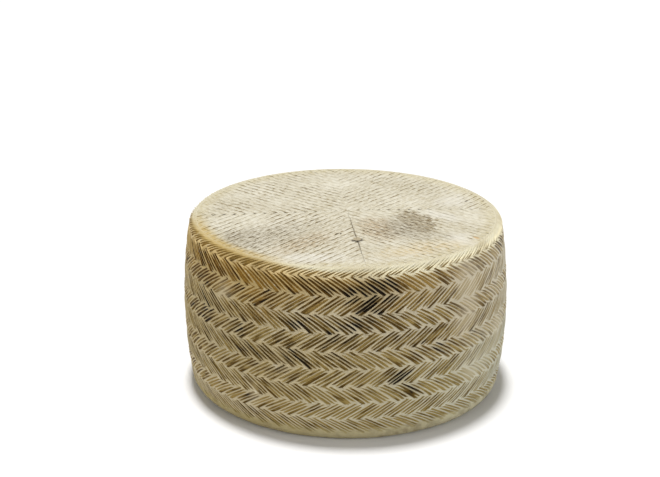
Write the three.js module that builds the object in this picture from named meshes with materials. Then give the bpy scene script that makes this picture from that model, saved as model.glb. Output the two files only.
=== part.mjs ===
// A whole wheel of pressed cheese: a low drum with a slightly barrelled side, a soft lower edge
// and a crisper upper edge. It was pressed and cured as one piece, so it is one solid.
// Millimetres, +Z up. The origin is the centre of the underside, where the wheel rests.

import * as THREE from 'three';

// Driving dimensions
const WHEEL_RADIUS = 100;        // widest radius, at the belly of the side
const WHEEL_HEIGHT = 106;        // flat underside to flat top
const TOP_RADIUS = 96;           // radius of the side where the upper edge begins
const FOOT_RADIUS = 96.5;        // radius of the side where the lower edge begins
const TOP_EDGE_ROUND = 4;        // radius of the upper edge
const FOOT_EDGE_ROUND = 7;       // radius of the lower edge

// How finely the curves are stepped
const STEPS_AROUND = 96;
const STEPS_UP_SIDE = 12;
const STEPS_ON_EDGE = 6;

// The cured rind
const RIND_COLOUR = 0xcdbf92;
const RIND_ROUGHNESS = 0.72;
const RIND_METALNESS = 0;

/** Points of a quarter-round edge about (centreX, centreY), from one angle to another. */
function edgeArc(centreX, centreY, radius, fromAngle, toAngle) {
  const points = [];
  for (let step = 0; step <= STEPS_ON_EDGE; step++) {
    const angle = THREE.MathUtils.lerp(fromAngle, toAngle, step / STEPS_ON_EDGE);
    points.push(new THREE.Vector2(
      centreX + radius * Math.cos(angle),
      centreY + radius * Math.sin(angle),
    ));
  }
  return points;
}

/** Points of the barrelled side between the two edges, which are left to their arcs. */
function sideCurve() {
  const low = FOOT_EDGE_ROUND;
  const high = WHEEL_HEIGHT - TOP_EDGE_ROUND;
  const points = [];
  for (let step = 1; step < STEPS_UP_SIDE; step++) {
    const along = step / STEPS_UP_SIDE;
    const chord = THREE.MathUtils.lerp(FOOT_RADIUS, TOP_RADIUS, along);
    const belly = WHEEL_RADIUS - (FOOT_RADIUS + TOP_RADIUS) / 2;
    const bulge = belly * (1 - (2 * along - 1) ** 2);
    points.push(new THREE.Vector2(chord + bulge, THREE.MathUtils.lerp(low, high, along)));
  }
  return points;
}

/** The half section of the wheel, from the axis at the underside to the axis at the top. */
function wheelProfile() {
  const footCentre = FOOT_RADIUS - FOOT_EDGE_ROUND;
  const topCentre = TOP_RADIUS - TOP_EDGE_ROUND;
  const quarter = Math.PI / 2;
  return [
    new THREE.Vector2(0, 0),
    ...edgeArc(footCentre, FOOT_EDGE_ROUND, FOOT_EDGE_ROUND, -quarter, 0),
    ...sideCurve(),
    ...edgeArc(topCentre, WHEEL_HEIGHT - TOP_EDGE_ROUND, TOP_EDGE_ROUND, 0, quarter),
    new THREE.Vector2(0, WHEEL_HEIGHT),
  ];
}

/** The wheel itself: its half section turned about the upright axis. */
function makeWheel() {
  const geometry = new THREE.LatheGeometry(wheelProfile(), STEPS_AROUND);
  geometry.rotateX(Math.PI / 2);
  const material = new THREE.MeshStandardMaterial({
    color: RIND_COLOUR,
    roughness: RIND_ROUGHNESS,
    metalness: RIND_METALNESS,
  });
  const wheel = new THREE.Mesh(geometry, material);
  wheel.name = 'cheese_wheel';
  return wheel;
}

const object = new THREE.Group();
object.name = 'pressed_cheese';
object.add(makeWheel());

export default object;
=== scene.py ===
"""A whole wheel of pressed ewe's-milk cheese, as it leaves the curing room.

The wheel is one body of cheese, so it is one closed mesh. Its rind carries two imprints:

* the side was pressed against a belt of plaited grass, which left rows of slanting strokes that
  change direction from row to row, three strokes to each blade of the plait;
* the flat faces were pressed against carved boards, which left fine straight grooves in four
  quarters that meet along a cross of seams.

Every dimension is in metres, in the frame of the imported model: +Z up, the origin at the centre of
the underside, and -Y towards the viewer.
"""

import logging
import math
from dataclasses import dataclass
from enum import Enum

import bpy
import numpy as np
from mathutils import Matrix, Vector


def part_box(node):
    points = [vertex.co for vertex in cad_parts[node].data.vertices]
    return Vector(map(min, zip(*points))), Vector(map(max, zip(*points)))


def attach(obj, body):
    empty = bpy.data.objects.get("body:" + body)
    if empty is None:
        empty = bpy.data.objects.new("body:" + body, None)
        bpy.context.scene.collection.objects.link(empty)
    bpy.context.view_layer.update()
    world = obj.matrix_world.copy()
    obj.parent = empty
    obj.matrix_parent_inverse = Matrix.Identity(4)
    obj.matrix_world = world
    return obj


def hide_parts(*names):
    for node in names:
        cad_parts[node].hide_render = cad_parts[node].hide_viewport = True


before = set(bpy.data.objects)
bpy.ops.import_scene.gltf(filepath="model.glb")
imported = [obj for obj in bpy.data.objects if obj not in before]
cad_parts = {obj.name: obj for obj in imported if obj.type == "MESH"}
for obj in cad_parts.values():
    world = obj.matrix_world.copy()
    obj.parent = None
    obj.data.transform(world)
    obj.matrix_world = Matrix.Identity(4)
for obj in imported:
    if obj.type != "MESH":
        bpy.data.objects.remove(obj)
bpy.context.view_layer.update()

log = logging.getLogger("cheese_wheel")

MM = 0.001
TURN = 2.0 * math.pi
WELD = 1e-7  # points of a face that lie closer together than this are one, in metres
NODE = "cheese_wheel"

Array = np.ndarray
Colour = tuple[float, float, float, float]
Socket = bpy.types.NodeSocket
Sockets = bpy.types.NodeInputs | bpy.types.NodeOutputs
Feed = Socket | float | tuple[float, ...]


# --- Smooth random fields ---


def lattice_random(cells: Array, seed: int) -> Array:
    """Gives each whole-number cell a fixed random value.

    The cell's three numbers and the seed are multiplied by large odd numbers, added, and stirred
    with shifts, and the lowest 24 bits are scaled to run from 0 to 1.

    Args:
        cells: whole numbers, any shape, with three of them along the last axis.
        seed: picks one field out of many.

    Returns:
        Values from 0 to 1, one for each cell.
    """
    x, y, z = (cells[..., k].astype(np.int64) for k in range(3))
    stirred = (x * 73856093) ^ (y * 19349663) ^ (z * 83492791) ^ (seed * 2654435761)
    stirred = (stirred ^ (stirred >> 13)) * 1274126177
    stirred = stirred ^ (stirred >> 16)
    return (stirred & 0xFFFFFF) / float(0xFFFFFF)


def cloud(places: Array, size: float, seed: int, octaves: int = 3) -> Array:
    """A smooth random field in space, from about -1 to 1.

    Each octave blends the random values at the eight corners of the cell that a place lies in,
    with weights 3w^2 - 2w^3. The next octave is half the size and has half the height.

    Args:
        places: points, with x, y, z along the last axis, in metres.
        size: width of the largest blobs, in metres.
        seed: picks the field.
        octaves: how many layers of finer detail are added up.

    Returns:
        One value for each point.
    """
    total = np.zeros(places.shape[:-1])
    height = 1.0
    for octave in range(octaves):
        scaled = places * (2.0**octave / size) + 17.3 * (octave + 1)
        cell = np.floor(scaled)
        w = scaled - cell
        w = w * w * (3.0 - 2.0 * w)
        blend = np.zeros(total.shape)
        for corner in range(8):
            step = np.array([(corner >> k) & 1 for k in range(3)])
            share = np.prod(np.where(step == 1, w, 1.0 - w), axis=-1)
            blend += share * lattice_random(cell + step, seed + 101 * octave)
        total += height * (2.0 * blend - 1.0)
        height *= 0.5
    return total


def smooth_step(low: float, high: float, value: Array | float) -> Array:
    """Rises from 0 at low to 1 at high along the curve 3w^2 - 2w^3; low may be above high."""
    w = np.clip((value - low) / (high - low), 0.0, 1.0)
    return w * w * (3.0 - 2.0 * w)


# --- The half section of the wheel ---


@dataclass(frozen=True)
class HalfSection:
    """The outline of the wheel from its top face, over the side, to its underside.

    Attributes:
        radius: widest radius, at the belly.
        height: flat underside to flat top.
        top_radius: radius of the side where the upper edge begins.
        foot_radius: radius of the side where the lower edge begins.
        top_round: radius of the upper edge.
        foot_round: radius of the lower edge.
    """

    radius: float
    height: float
    top_radius: float = 96.0 * MM
    foot_radius: float = 96.5 * MM
    top_round: float = 4.0 * MM
    foot_round: float = 7.0 * MM

    @classmethod
    def from_frame(cls, node: str) -> "HalfSection":
        """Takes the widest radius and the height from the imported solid.

        Args:
            node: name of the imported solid.

        Returns:
            The half section that fills the solid's box.
        """
        low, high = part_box(node)
        return cls(radius=(high[0] - low[0]) / 2.0, height=high[2] - low[2])

    @property
    def top_arc(self) -> float:
        """Length of the upper edge's quarter circle."""
        return self.top_round * math.pi / 2.0

    @property
    def side_drop(self) -> float:
        """Height of the side between the two rounded edges."""
        return self.height - self.top_round - self.foot_round

    @property
    def length(self) -> float:
        """Length of the path from the start of the upper edge to the end of the lower edge."""
        return self.top_arc + self.side_drop + self.foot_round * math.pi / 2.0

    def at(self, t: Array) -> tuple[Array, Array, Array, Array]:
        """Follows the outline.

        The path runs along the flat top while t is negative, then over a quarter circle, down
        the side, whose radius is a straight line plus a parabola, and round a second quarter
        circle. Down the side, t counts the drop.

        Args:
            t: path length from the start of the upper edge, in metres.

        Returns:
            Radius, height, and the outward normal's radial and upward parts, each shaped as t.
        """
        t = np.asarray(t, float)
        top = np.clip(t / self.top_round, 0.0, math.pi / 2.0)
        down = np.clip((t - self.top_arc) / self.side_drop, 0.0, 1.0)
        foot = np.clip((t - self.top_arc - self.side_drop) / self.foot_round, 0.0, math.pi / 2.0)
        chord = self.top_radius + (self.foot_radius - self.top_radius) * down
        belly = self.radius - (self.top_radius + self.foot_radius) / 2.0
        side = chord + belly * (1.0 - (2.0 * down - 1.0) ** 2)
        slope = (self.foot_radius - self.top_radius) - belly * 4.0 * (2.0 * down - 1.0)
        tilt = np.arctan2(slope, self.side_drop)
        on_top = t < self.top_arc
        on_foot = t > self.top_arc + self.side_drop
        r = np.where(on_top, self.top_radius - self.top_round * (1.0 - np.sin(top)), side)
        r = np.where(on_foot, self.foot_radius - self.foot_round * (1.0 - np.cos(foot)), r)
        r = r + np.minimum(t, 0.0)
        z = np.where(
            on_top,
            self.height - self.top_round * (1.0 - np.cos(top)),
            self.height - self.top_round - self.side_drop * down,
        )
        z = np.where(on_foot, self.foot_round * (1.0 - np.sin(foot)), z)
        out = np.where(on_top, np.sin(top), np.where(on_foot, np.cos(foot), np.cos(tilt)))
        up = np.where(on_top, np.cos(top), np.where(on_foot, -np.sin(foot), np.sin(tilt)))
        return r, z, out, up


# --- The plaited belt ---


class Slant(Enum):
    """Which way the strokes of a row lean, and how they move on going down the row."""

    FORWARD = -1  # like /: going down, a stroke moves back
    BACKWARD = 1  # like \: going down, a stroke moves on


@dataclass(frozen=True)
class Strokes:
    """What the plait left at some places: one value for each place.

    Attributes:
        depth: how deep the groove is, from 0 on a ridge to about 1.
        cut: the same before it is clipped, so that it falls below 0 on a ridge.
        tone: how dark the mould in the groove is, from 0 to 1.
        smear: 1 in a bundle of strokes, falling to 0 on the ridges round it.
    """

    depth: Array
    cut: Array
    tone: Array
    smear: Array


@dataclass(frozen=True)
class Spread:
    """How much the strokes differ from one another: the largest difference of each kind.

    Attributes:
        drop: how much higher or lower a stroke sits, as a share of the row height.
        length: how much longer or shorter it is, as a share of its length.
        aside: how far it strays sideways, as a share of a third of a blade.
        bend: how far it is bent, as such a share.
        tilt: how far its ends are turned aside, as such a share.
        width: how much wider or narrower it is, as a share of its width.
        depth: how much deeper or shallower it is, as a share of the deepest.
        tone: how much darker or paler it is, and as much again for its whole blade.
    """

    drop: float = 0.018
    length: float = 0.09
    aside: float = 0.08
    bend: float = 0.11
    tilt: float = 0.09
    width: float = 0.2
    depth: float = 0.2
    tone: float = 0.2


@dataclass(frozen=True)
class PlaitedBelt:
    """The grass plait that the side was pressed against.

    A row is one course of the plait. Each blade shows as a bundle of three strokes that starts
    and ends along the blades of the rows above and below, which lean the other way, so the
    bundles' ends make a zigzag ridge between two rows.

    Attributes:
        radius: radius at which the belt's lengths are counted.
        blades: blades round the wheel.
        rows: courses, with the one that the upper edge cuts through as number 0.
        first_line: path length at which row 0 ends.
        row_height: height of a full row.
        rim_height: height of row 0, which bends over the upper edge.
        crowding: how much shorter each of the last rows is than the one before.
        lean: how many blades a stroke passes on its way down a row.
        bow: how much faster a stroke moves sideways at a row's top than at its bottom, in rows
            that lean forward and in rows that lean backward.
        stroke_gap: distance between a blade's strokes, as a share of a third of a blade.
        half_width: half the width of a groove.
        half_length: half the length of a stroke, as a share of the row height.
        stagger: how much lower each stroke of a blade sits than the one before.
        taper: how much narrower a groove is at its ends, as a share.
        fat: how much wider the lowest stroke of a blade gets towards its lower end, as a share.
        depth: depth of a middling stroke, as a share of the deepest.
        tone: a middling stroke's tone.
        low_tone: how much darker the lowest stroke of a blade gets towards its lower end.
        spread: the strokes' small differences.
        seed: picks those differences.
    """

    radius: float
    blades: int = 60
    rows: int = 10
    first_line: float = 7.25 * MM
    row_height: float = 10.9 * MM
    rim_height: float = 7.6 * MM
    crowding: float = 0.95 * MM
    lean: float = 1.5
    bow: tuple[float, float] = (0.1, 0.22)
    stroke_gap: float = 0.945
    half_width: float = 0.7 * MM
    half_length: float = 0.464
    stagger: float = 0.098
    taper: float = 0.3
    fat: float = 0.3
    depth: float = 0.86
    tone: float = 0.4
    low_tone: float = 0.16
    spread: Spread = Spread()
    seed: int = 20

    @property
    def blade(self) -> float:
        """Distance from one blade to the next, round the wheel."""
        return TURN * self.radius / self.blades

    @property
    def stroke(self) -> float:
        """A third of a blade: the mean distance between strokes."""
        return self.blade / 3.0

    def line(self, number: Array | int) -> Array:
        """Path length of the line above a row.

        Rows are evenly spaced, apart from the last three, where each is shorter by the crowding
        than the one before: the distance falls behind by the crowding times 1, 3, 6 and so on.

        Args:
            number: the row's number; one past the last row gives the lowest line.

        Returns:
            The path length of the line.
        """
        number = np.asarray(number, float)
        late = np.maximum(number - 8.0, 0.0)
        height = np.where(number < 1.0, self.rim_height, self.row_height)
        even = self.first_line + (number - 1.0) * height
        return even - self.crowding * late * (late + 1.0) / 2.0

    @staticmethod
    def turn_of(number: Array) -> Array:
        """The slant of each row as a number: even rows lean forward and odd rows backward."""
        return np.where(number % 2 == 0, Slant.FORWARD.value, Slant.BACKWARD.value)

    def shift(self, t: Array, number: Array) -> Array:
        """How far a stroke has moved sideways at a path length within a row.

        The shift runs over the lean from the row's top to its bottom, as v + bow * v(1 - v).
        Rows start in turn at 0 and at the full lean, so that strokes meet end to end.

        Args:
            t: path length.
            number: the row, for each path length; it may be a neighbour of the one t lies in.

        Returns:
            Sideways distance, in metres at the belt's radius.
        """
        top, bottom = self.line(number), self.line(number + 1)
        v = (t - top) / (bottom - top)
        inside = np.clip(v, 0.0, 1.0)
        turn = self.turn_of(number)
        eased = v + np.where(turn < 0, *self.bow) * inside * (1.0 - inside)
        start = np.where(turn > 0, 0.0, self.lean)
        return (start + turn * self.lean * eased) * self.blade

    def row_of(self, t: Array) -> Array:
        """The number of the row that each path length lies in."""
        lines = self.line(np.arange(1, self.rows + 1))
        return np.searchsorted(lines, t, side="right")

    def in_row(self, x: Array, t: Array, number: Array) -> Strokes:
        """What one row's strokes leave at each place.

        Across a stroke the groove is (1 - (p / w)^2)^0.8 deep at the distance p from its middle,
        where the half width w narrows towards both ends as 1 - taper * l^3, with l running from
        -1 to 1 along the stroke. The depth falls off at the ends as 1 - l^8. The middle line is
        bent sideways as l^2. The smear covers a blade's whole bundle of strokes.

        Args:
            x: distance round the wheel at the belt's radius.
            t: path length.
            number: the row whose strokes are asked for.

        Returns:
            The strokes' depth, cut, tone and smear.
        """
        number = np.clip(number, 0, self.rows - 1)
        top, bottom = self.line(number), self.line(number + 1)
        v = (t - top) / (bottom - top)
        turn = self.turn_of(number)
        phase = np.where(turn > 0, 0.0, 0.5)
        around = (x - self.shift(t, number)) / self.blade + phase
        blade = np.floor(around + 0.5)
        within = (around - blade) * 3.0
        place = np.clip(np.round(within / self.stroke_gap), -1, 1)
        index = (number, blade.astype(int) % self.blades, place.astype(int) + 1)
        rng = np.random.default_rng(self.seed)
        shape = (self.rows, self.blades, 3)
        wander, longer, wider, deeper, darker, bend = rng.uniform(-1, 1, (6, *shape))
        blade_tone = rng.uniform(-1, 1, shape[:2])
        spread = self.spread
        lower = -turn * place
        lowest = np.clip(lower, 0, 1)
        middle = 0.5 + self.stagger * lower + spread.drop * wander[index]
        along = (v - middle) / (self.half_length * (1.0 + spread.length * longer[index]))
        drift = spread.aside * wander[index] + spread.bend * bend[index] * (along**2 - 0.4)
        drift = drift + spread.tilt * deeper[index] * along
        across = (within - self.stroke_gap * place - drift) * self.stroke
        across = across * math.sin(math.atan2(self.row_height, self.lean * self.blade))
        fat = 1.0 + self.fat * lowest * np.clip(along + 0.3, 0, 1)
        width = self.half_width * fat * (1.0 + spread.width * wider[index])
        width = width * (1.0 - self.taper * np.clip(np.abs(along), 0, 1) ** 3)
        groove = np.clip(1.0 - (across / width) ** 2, -1.0, 1.0)
        ends = np.clip(1.0 - np.abs(along) ** 8, -1.0, 1.0)
        depth = np.clip(groove, 0, 1) ** 0.8 * np.clip(ends, 0, 1)
        depth = depth * (self.depth + spread.depth * deeper[index])
        tone = self.tone + spread.tone * blade_tone[index[:2]] + spread.tone * darker[index]
        tone = tone + self.low_tone * lowest * np.clip(along + 0.2, 0, 1)
        bundle = 1.0 - np.clip(np.abs(within) / 1.5, 0, 1) ** 5
        return Strokes(depth, np.minimum(groove, ends), tone, bundle * np.clip(ends, 0, 1))

    def strokes(self, x: Array, t: Array) -> Strokes:
        """What the whole belt leaves at each place: the deepest stroke of three rows counts.

        Args:
            x: distance round the wheel at the belt's radius.
            t: path length.

        Returns:
            The strokes' depth, cut, tone and smear.
        """
        own = self.row_of(t)
        near = [self.in_row(x, t, own + step) for step in (0, -1, 1)]
        deepest = np.stack([one.cut for one in near]).argmax(axis=0)[None]
        return Strokes(
            *(
                np.take_along_axis(np.stack([getattr(one, part) for one in near]), deepest, 0)[0]
                for part in ("depth", "cut", "tone", "smear")
            )
        )

    def stations(self, start: float, end: float) -> Array:
        """Path lengths of the mesh's rings, close together where strokes begin and end.

        Args:
            start: path length of the first ring, on the flat top.
            end: path length of the last ring, on the underside.

        Returns:
            The path lengths, rising.
        """
        first = np.linspace(start, self.first_line, 8)
        v = np.array([0.0, 0.09, 0.19, 0.33, 0.5, 0.67, 0.81, 0.91])
        top = self.line(np.arange(1, self.rows))[:, None]
        bottom = self.line(np.arange(2, self.rows + 1))[:, None]
        woven = (top + (bottom - top) * v).ravel()
        last = np.linspace(bottom[-1, 0], end, 7)
        return np.concatenate([first[:-1], woven, last])


# --- The carved boards ---


@dataclass(frozen=True)
class Split:
    """A hairline split along a seam, with a small scar in the shape of a shield on it.

    Attributes:
        start: distance from the crossing of the seams at which the split begins.
        opens: length over which it opens.
        end: distance at which it has closed.
        closes: length over which it closes.
        half_width: half its width at the surface.
        depth: how deep it opens.
        scar: distance from the crossing to the scar's middle.
        scar_size: half the scar's width and half its length along the seam.
        scar_depth: how far the scar is sunk.
    """

    start: float = 16 * MM
    opens: float = 8 * MM
    end: float = 84 * MM
    closes: float = 25 * MM
    half_width: float = 0.6 * MM
    depth: float = 0.3 * MM
    scar: float = 52.6 * MM
    scar_size: tuple[float, float] = (3.0 * MM, 2.6 * MM)
    scar_depth: float = 0.6 * MM

    def at(self, along: Array, across: Array) -> Array:
        """How far the face is let down.

        The split is exp(-(across / half width)^2) deep; the scar is flat inside an ellipse.

        Args:
            along: distance along the seam from the crossing.
            across: distance to the side of the seam.

        Returns:
            Depths.
        """
        ends = smooth_step(self.start, self.start + self.opens, along)
        ends = ends * smooth_step(self.end, self.end - self.closes, along)
        split = self.depth * ends * np.exp(-((across / self.half_width) ** 2))
        away = np.hypot(across / self.scar_size[0], (along - self.scar) / self.scar_size[1])
        return np.maximum(split, self.scar_depth * smooth_step(1.15, 0.75, away))


@dataclass(frozen=True)
class CarvedBoard:
    """A board that one flat face was pressed against.

    Its grooves run straight out from a cross of seams: in each quarter they are parallel to the
    quarter's own middle line, so they meet at the seams in chevrons that point to the centre.

    Attributes:
        centre: where the seams cross.
        seams: directions of the four seams from +X, in degrees, rising.
        pitch: distance between grooves.
        depth: depth of a fresh groove.
        between: depth of the faint line between two grooves, as a share of a groove's.
        worn_share: how much of the depth is lost where the imprint is most worn.
        patch: width of the worn patches.
        edge: width of the border over which the imprint fades in.
        uneven: how far the face lies below the edge, give or take half.
        swell: width of its uneven parts.
        apart: how far the quarters' groove coordinates are kept apart, so that they differ.
        samples: mesh columns to each groove.
        rings: mesh steps along a groove.
        seed: picks the worn patches.
        split: the split along the first seam, if there is one.
    """

    centre: tuple[float, float]
    seams: tuple[float, float, float, float]
    pitch: float = 4.4 * MM
    depth: float = 0.5 * MM
    between: float = 0.35
    worn_share: float = 0.6
    patch: float = 22 * MM
    edge: float = 8 * MM
    uneven: float = 0.22 * MM
    swell: float = 30 * MM
    apart: float = 40.0
    samples: int = 6
    rings: int = 16
    seed: int = 50
    split: Split | None = None

    def damage(self, x: Array, y: Array) -> Array:
        """How far damage has let the face down.

        Args:
            x: places across the wheel.
            y: places along it.

        Returns:
            Depths.
        """
        if self.split is None:
            return np.zeros_like(x)
        turn = math.radians(self.seams[0])
        x, y = x - self.centre[0], y - self.centre[1]
        along = x * math.cos(turn) + y * math.sin(turn)
        return self.split.at(along, y * math.cos(turn) - x * math.sin(turn))

    def relief(self, x: Array, y: Array, groove: Array, radius: float) -> Array:
        """How far the face is let down.

        Over one groove the depth is cos(turn)^0.8 where the cosine is above 0, and a fainter
        line lies between two grooves. Worn patches are shallower.

        Args:
            x: places across the wheel.
            y: places along it.
            groove: the groove coordinate, which rises by 1 from groove to groove.
            radius: radius of the circle that bounds the imprint.

        Returns:
            Depths.
        """
        places = np.stack([x, y, np.zeros_like(x)], -1)
        worn = smooth_step(-0.2, 1.0, cloud(places, self.patch, self.seed, 3))
        wave = np.cos(TURN * groove)
        trough = np.clip(wave, 0.0, 1.0) ** 0.8
        faint = self.between * np.clip(-wave - 0.6, 0.0, 1.0) / 0.4
        edge = smooth_step(radius, radius - self.edge, np.hypot(x, y))
        imprint = self.depth * (trough + faint) * (1.0 - self.worn_share * worn) * (0.3 + 0.7 * edge)
        uneven = self.uneven * (1.0 + 0.5 * cloud(places, self.swell, self.seed + 1, 3))
        return imprint + uneven * edge + self.damage(x, y)

    def reach(self, start: Array, way: Array, radius: float) -> Array:
        """Distance from points, in one direction, to a circle about the wheel's axis.

        With p the part of the start that lies along the direction, the distance is
        sqrt(radius^2 - |start|^2 + p^2) - p.

        Args:
            start: points, with x and y along the last axis.
            way: a unit vector.
            radius: the circle's radius.

        Returns:
            The distances, not below 0.
        """
        along = start @ way
        inside = radius**2 - (start**2).sum(axis=-1) + along**2
        return np.maximum(np.sqrt(np.maximum(inside, 0.0)) - along, 0.0)

    def quarter(self, number: int, radius: float) -> dict[str, Array]:
        """The grid of one quarter.

        Columns lie at even distances b to both sides of the middle line. Each starts on a seam,
        where the distance along the middle line is |b| / tan(h), with h half the angle between
        the seams, and ends on the circle. Its points are closer together near the seam.

        Args:
            number: which quarter.
            radius: radius of the circle that bounds the grid.

        Returns:
            Arrays with a row for each column: places x and y, the groove coordinate, the
            distance along the groove, and the faces as four indices into the flattened grid.
        """
        seams = np.radians([*self.seams, self.seams[0] + 360.0])[number : number + 2]
        half = (seams[1] - seams[0]) / 2.0
        middle = seams.mean()
        way = np.array([math.cos(middle), math.sin(middle)])
        aside = np.array([-way[1], way[0]])
        centre = np.array(self.centre)
        step = self.pitch / self.samples
        ends = [
            float(self.reach(centre, np.array([math.cos(s), math.sin(s)]), radius)) for s in seams
        ]
        widths = [one * math.sin(half) for one in ends]
        counts = [max(2, round(one / step)) for one in widths]
        index = np.arange(-counts[0], counts[1] + 1)
        b = np.where(index < 0, index * widths[0] / counts[0], index * widths[1] / counts[1])
        start = centre + np.abs(b)[:, None] / math.tan(half) * way + b[:, None] * aside
        length = self.reach(start, way, radius)
        length[[0, -1]] = 0.0
        f = np.linspace(0.0, 1.0, self.rings + 1) ** 1.4
        run = length[:, None] * f
        place = start[:, None] + run[..., None] * way
        groove = np.repeat((index / self.samples)[:, None], len(f), axis=1)
        at = np.arange(run.size).reshape(run.shape)
        faces = np.stack([at[:-1, :-1], at[:-1, 1:], at[1:, 1:], at[1:, :-1]], -1).reshape(-1, 4)
        along = run + np.abs(b)[:, None] / math.tan(half)
        return {
            "x": place[..., 0],
            "y": place[..., 1],
            "groove": groove,
            "along": along,
            "faces": faces,
        }


# --- Mesh helpers ---


def zip_rings(inner: Array, outer: Array, turn_in: Array, turn_out: Array) -> Array:
    """Joins two closed rings of vertices with one strip of triangles.

    The vertices of both rings are taken in the order of their angles. Each one makes a triangle
    with the vertex before it on its own ring and the latest vertex of the other ring.

    Args:
        inner: vertex numbers of the inner ring, in the order of their angles.
        outer: vertex numbers of the outer ring, in the order of their angles.
        turn_in: the inner ring's angles, rising.
        turn_out: the outer ring's angles, rising.

    Returns:
        Triangles as vertex numbers, facing up.
    """
    turns = np.concatenate([turn_in, turn_out])
    is_in = np.concatenate([np.ones(len(inner), bool), np.zeros(len(outer), bool)])
    is_in = is_in[np.argsort(turns, kind="stable")]
    count_in = np.cumsum(is_in) - 1
    count_out = np.cumsum(~is_in) - 1
    last_in, last_out = inner[count_in], outer[count_out]
    step_in = np.stack([inner[count_in - 1], last_out, last_in], -1)
    step_out = np.stack([outer[count_out - 1], last_out, last_in], -1)
    return np.where(is_in[:, None], step_in, step_out)


def write_mesh(
    name: str,
    places: Array,
    quads: Array,
    triangles: Array,
    maps: dict[str, Array],
    values: dict[str, Array],
) -> bpy.types.Object:
    """Puts arrays into a new smooth-shaded mesh object at the origin.

    Args:
        name: the piece's name.
        places: vertices, in metres.
        quads: faces of four vertex numbers.
        triangles: faces of three vertex numbers.
        maps: UV maps, each with two numbers for every corner, the quads' corners first.
        values: attributes, each with one number for every vertex.

    Returns:
        The object, linked to the scene.
    """
    mesh = bpy.data.meshes.new(name)
    corners = np.concatenate([quads.ravel(), triangles.ravel()]).astype(np.int32)
    starts = np.concatenate(
        [np.arange(len(quads)) * 4, len(quads) * 4 + np.arange(len(triangles)) * 3]
    ).astype(np.int32)
    mesh.vertices.add(len(places))
    mesh.vertices.foreach_set("co", places.astype(np.float32).ravel())
    mesh.loops.add(len(corners))
    mesh.loops.foreach_set("vertex_index", corners)
    mesh.polygons.add(len(starts))
    mesh.polygons.foreach_set("loop_start", starts)
    mesh.update(calc_edges=True)
    for title, uv in maps.items():
        layer = mesh.uv_layers.new(name=title)
        layer.uv.foreach_set("vector", uv.astype(np.float32).ravel())
    for title, value in values.items():
        attribute = mesh.attributes.new(title, "FLOAT", "POINT")
        attribute.data.foreach_set("value", value.astype(np.float32))
    mesh.shade_smooth()
    piece = bpy.data.objects.new(name, mesh)
    bpy.context.collection.objects.link(piece)
    return piece


# --- Ageing of the side ---


@dataclass(frozen=True)
class Bloom:
    """A soft patch on the side, such as a cluster of dark mould or a rubbed place.

    Attributes:
        bearing: angle round the wheel from the front, in degrees, rising to the viewer's right.
        drop: distance below the top face.
        width: how far it spreads round the wheel.
        height: how far it spreads down the side.
        strength: its value in the middle.
    """

    bearing: float
    drop: float
    width: float
    height: float
    strength: float

    def at(self, angle: Array, t: Array, radius: float) -> Array:
        """The patch's strength at places on the side.

        It falls off as exp(-(x / width)^2 - (y / height)^2).

        Args:
            angle: angle round the wheel, in radians.
            t: path length down the side.
            radius: radius of the wheel.

        Returns:
            Values from 0 to the strength.
        """
        off = (angle - math.radians(self.bearing) + math.pi) % TURN - math.pi
        return self.strength * np.exp(
            -((off * radius / self.width) ** 2) - ((t - self.drop) / self.height) ** 2
        )


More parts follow.
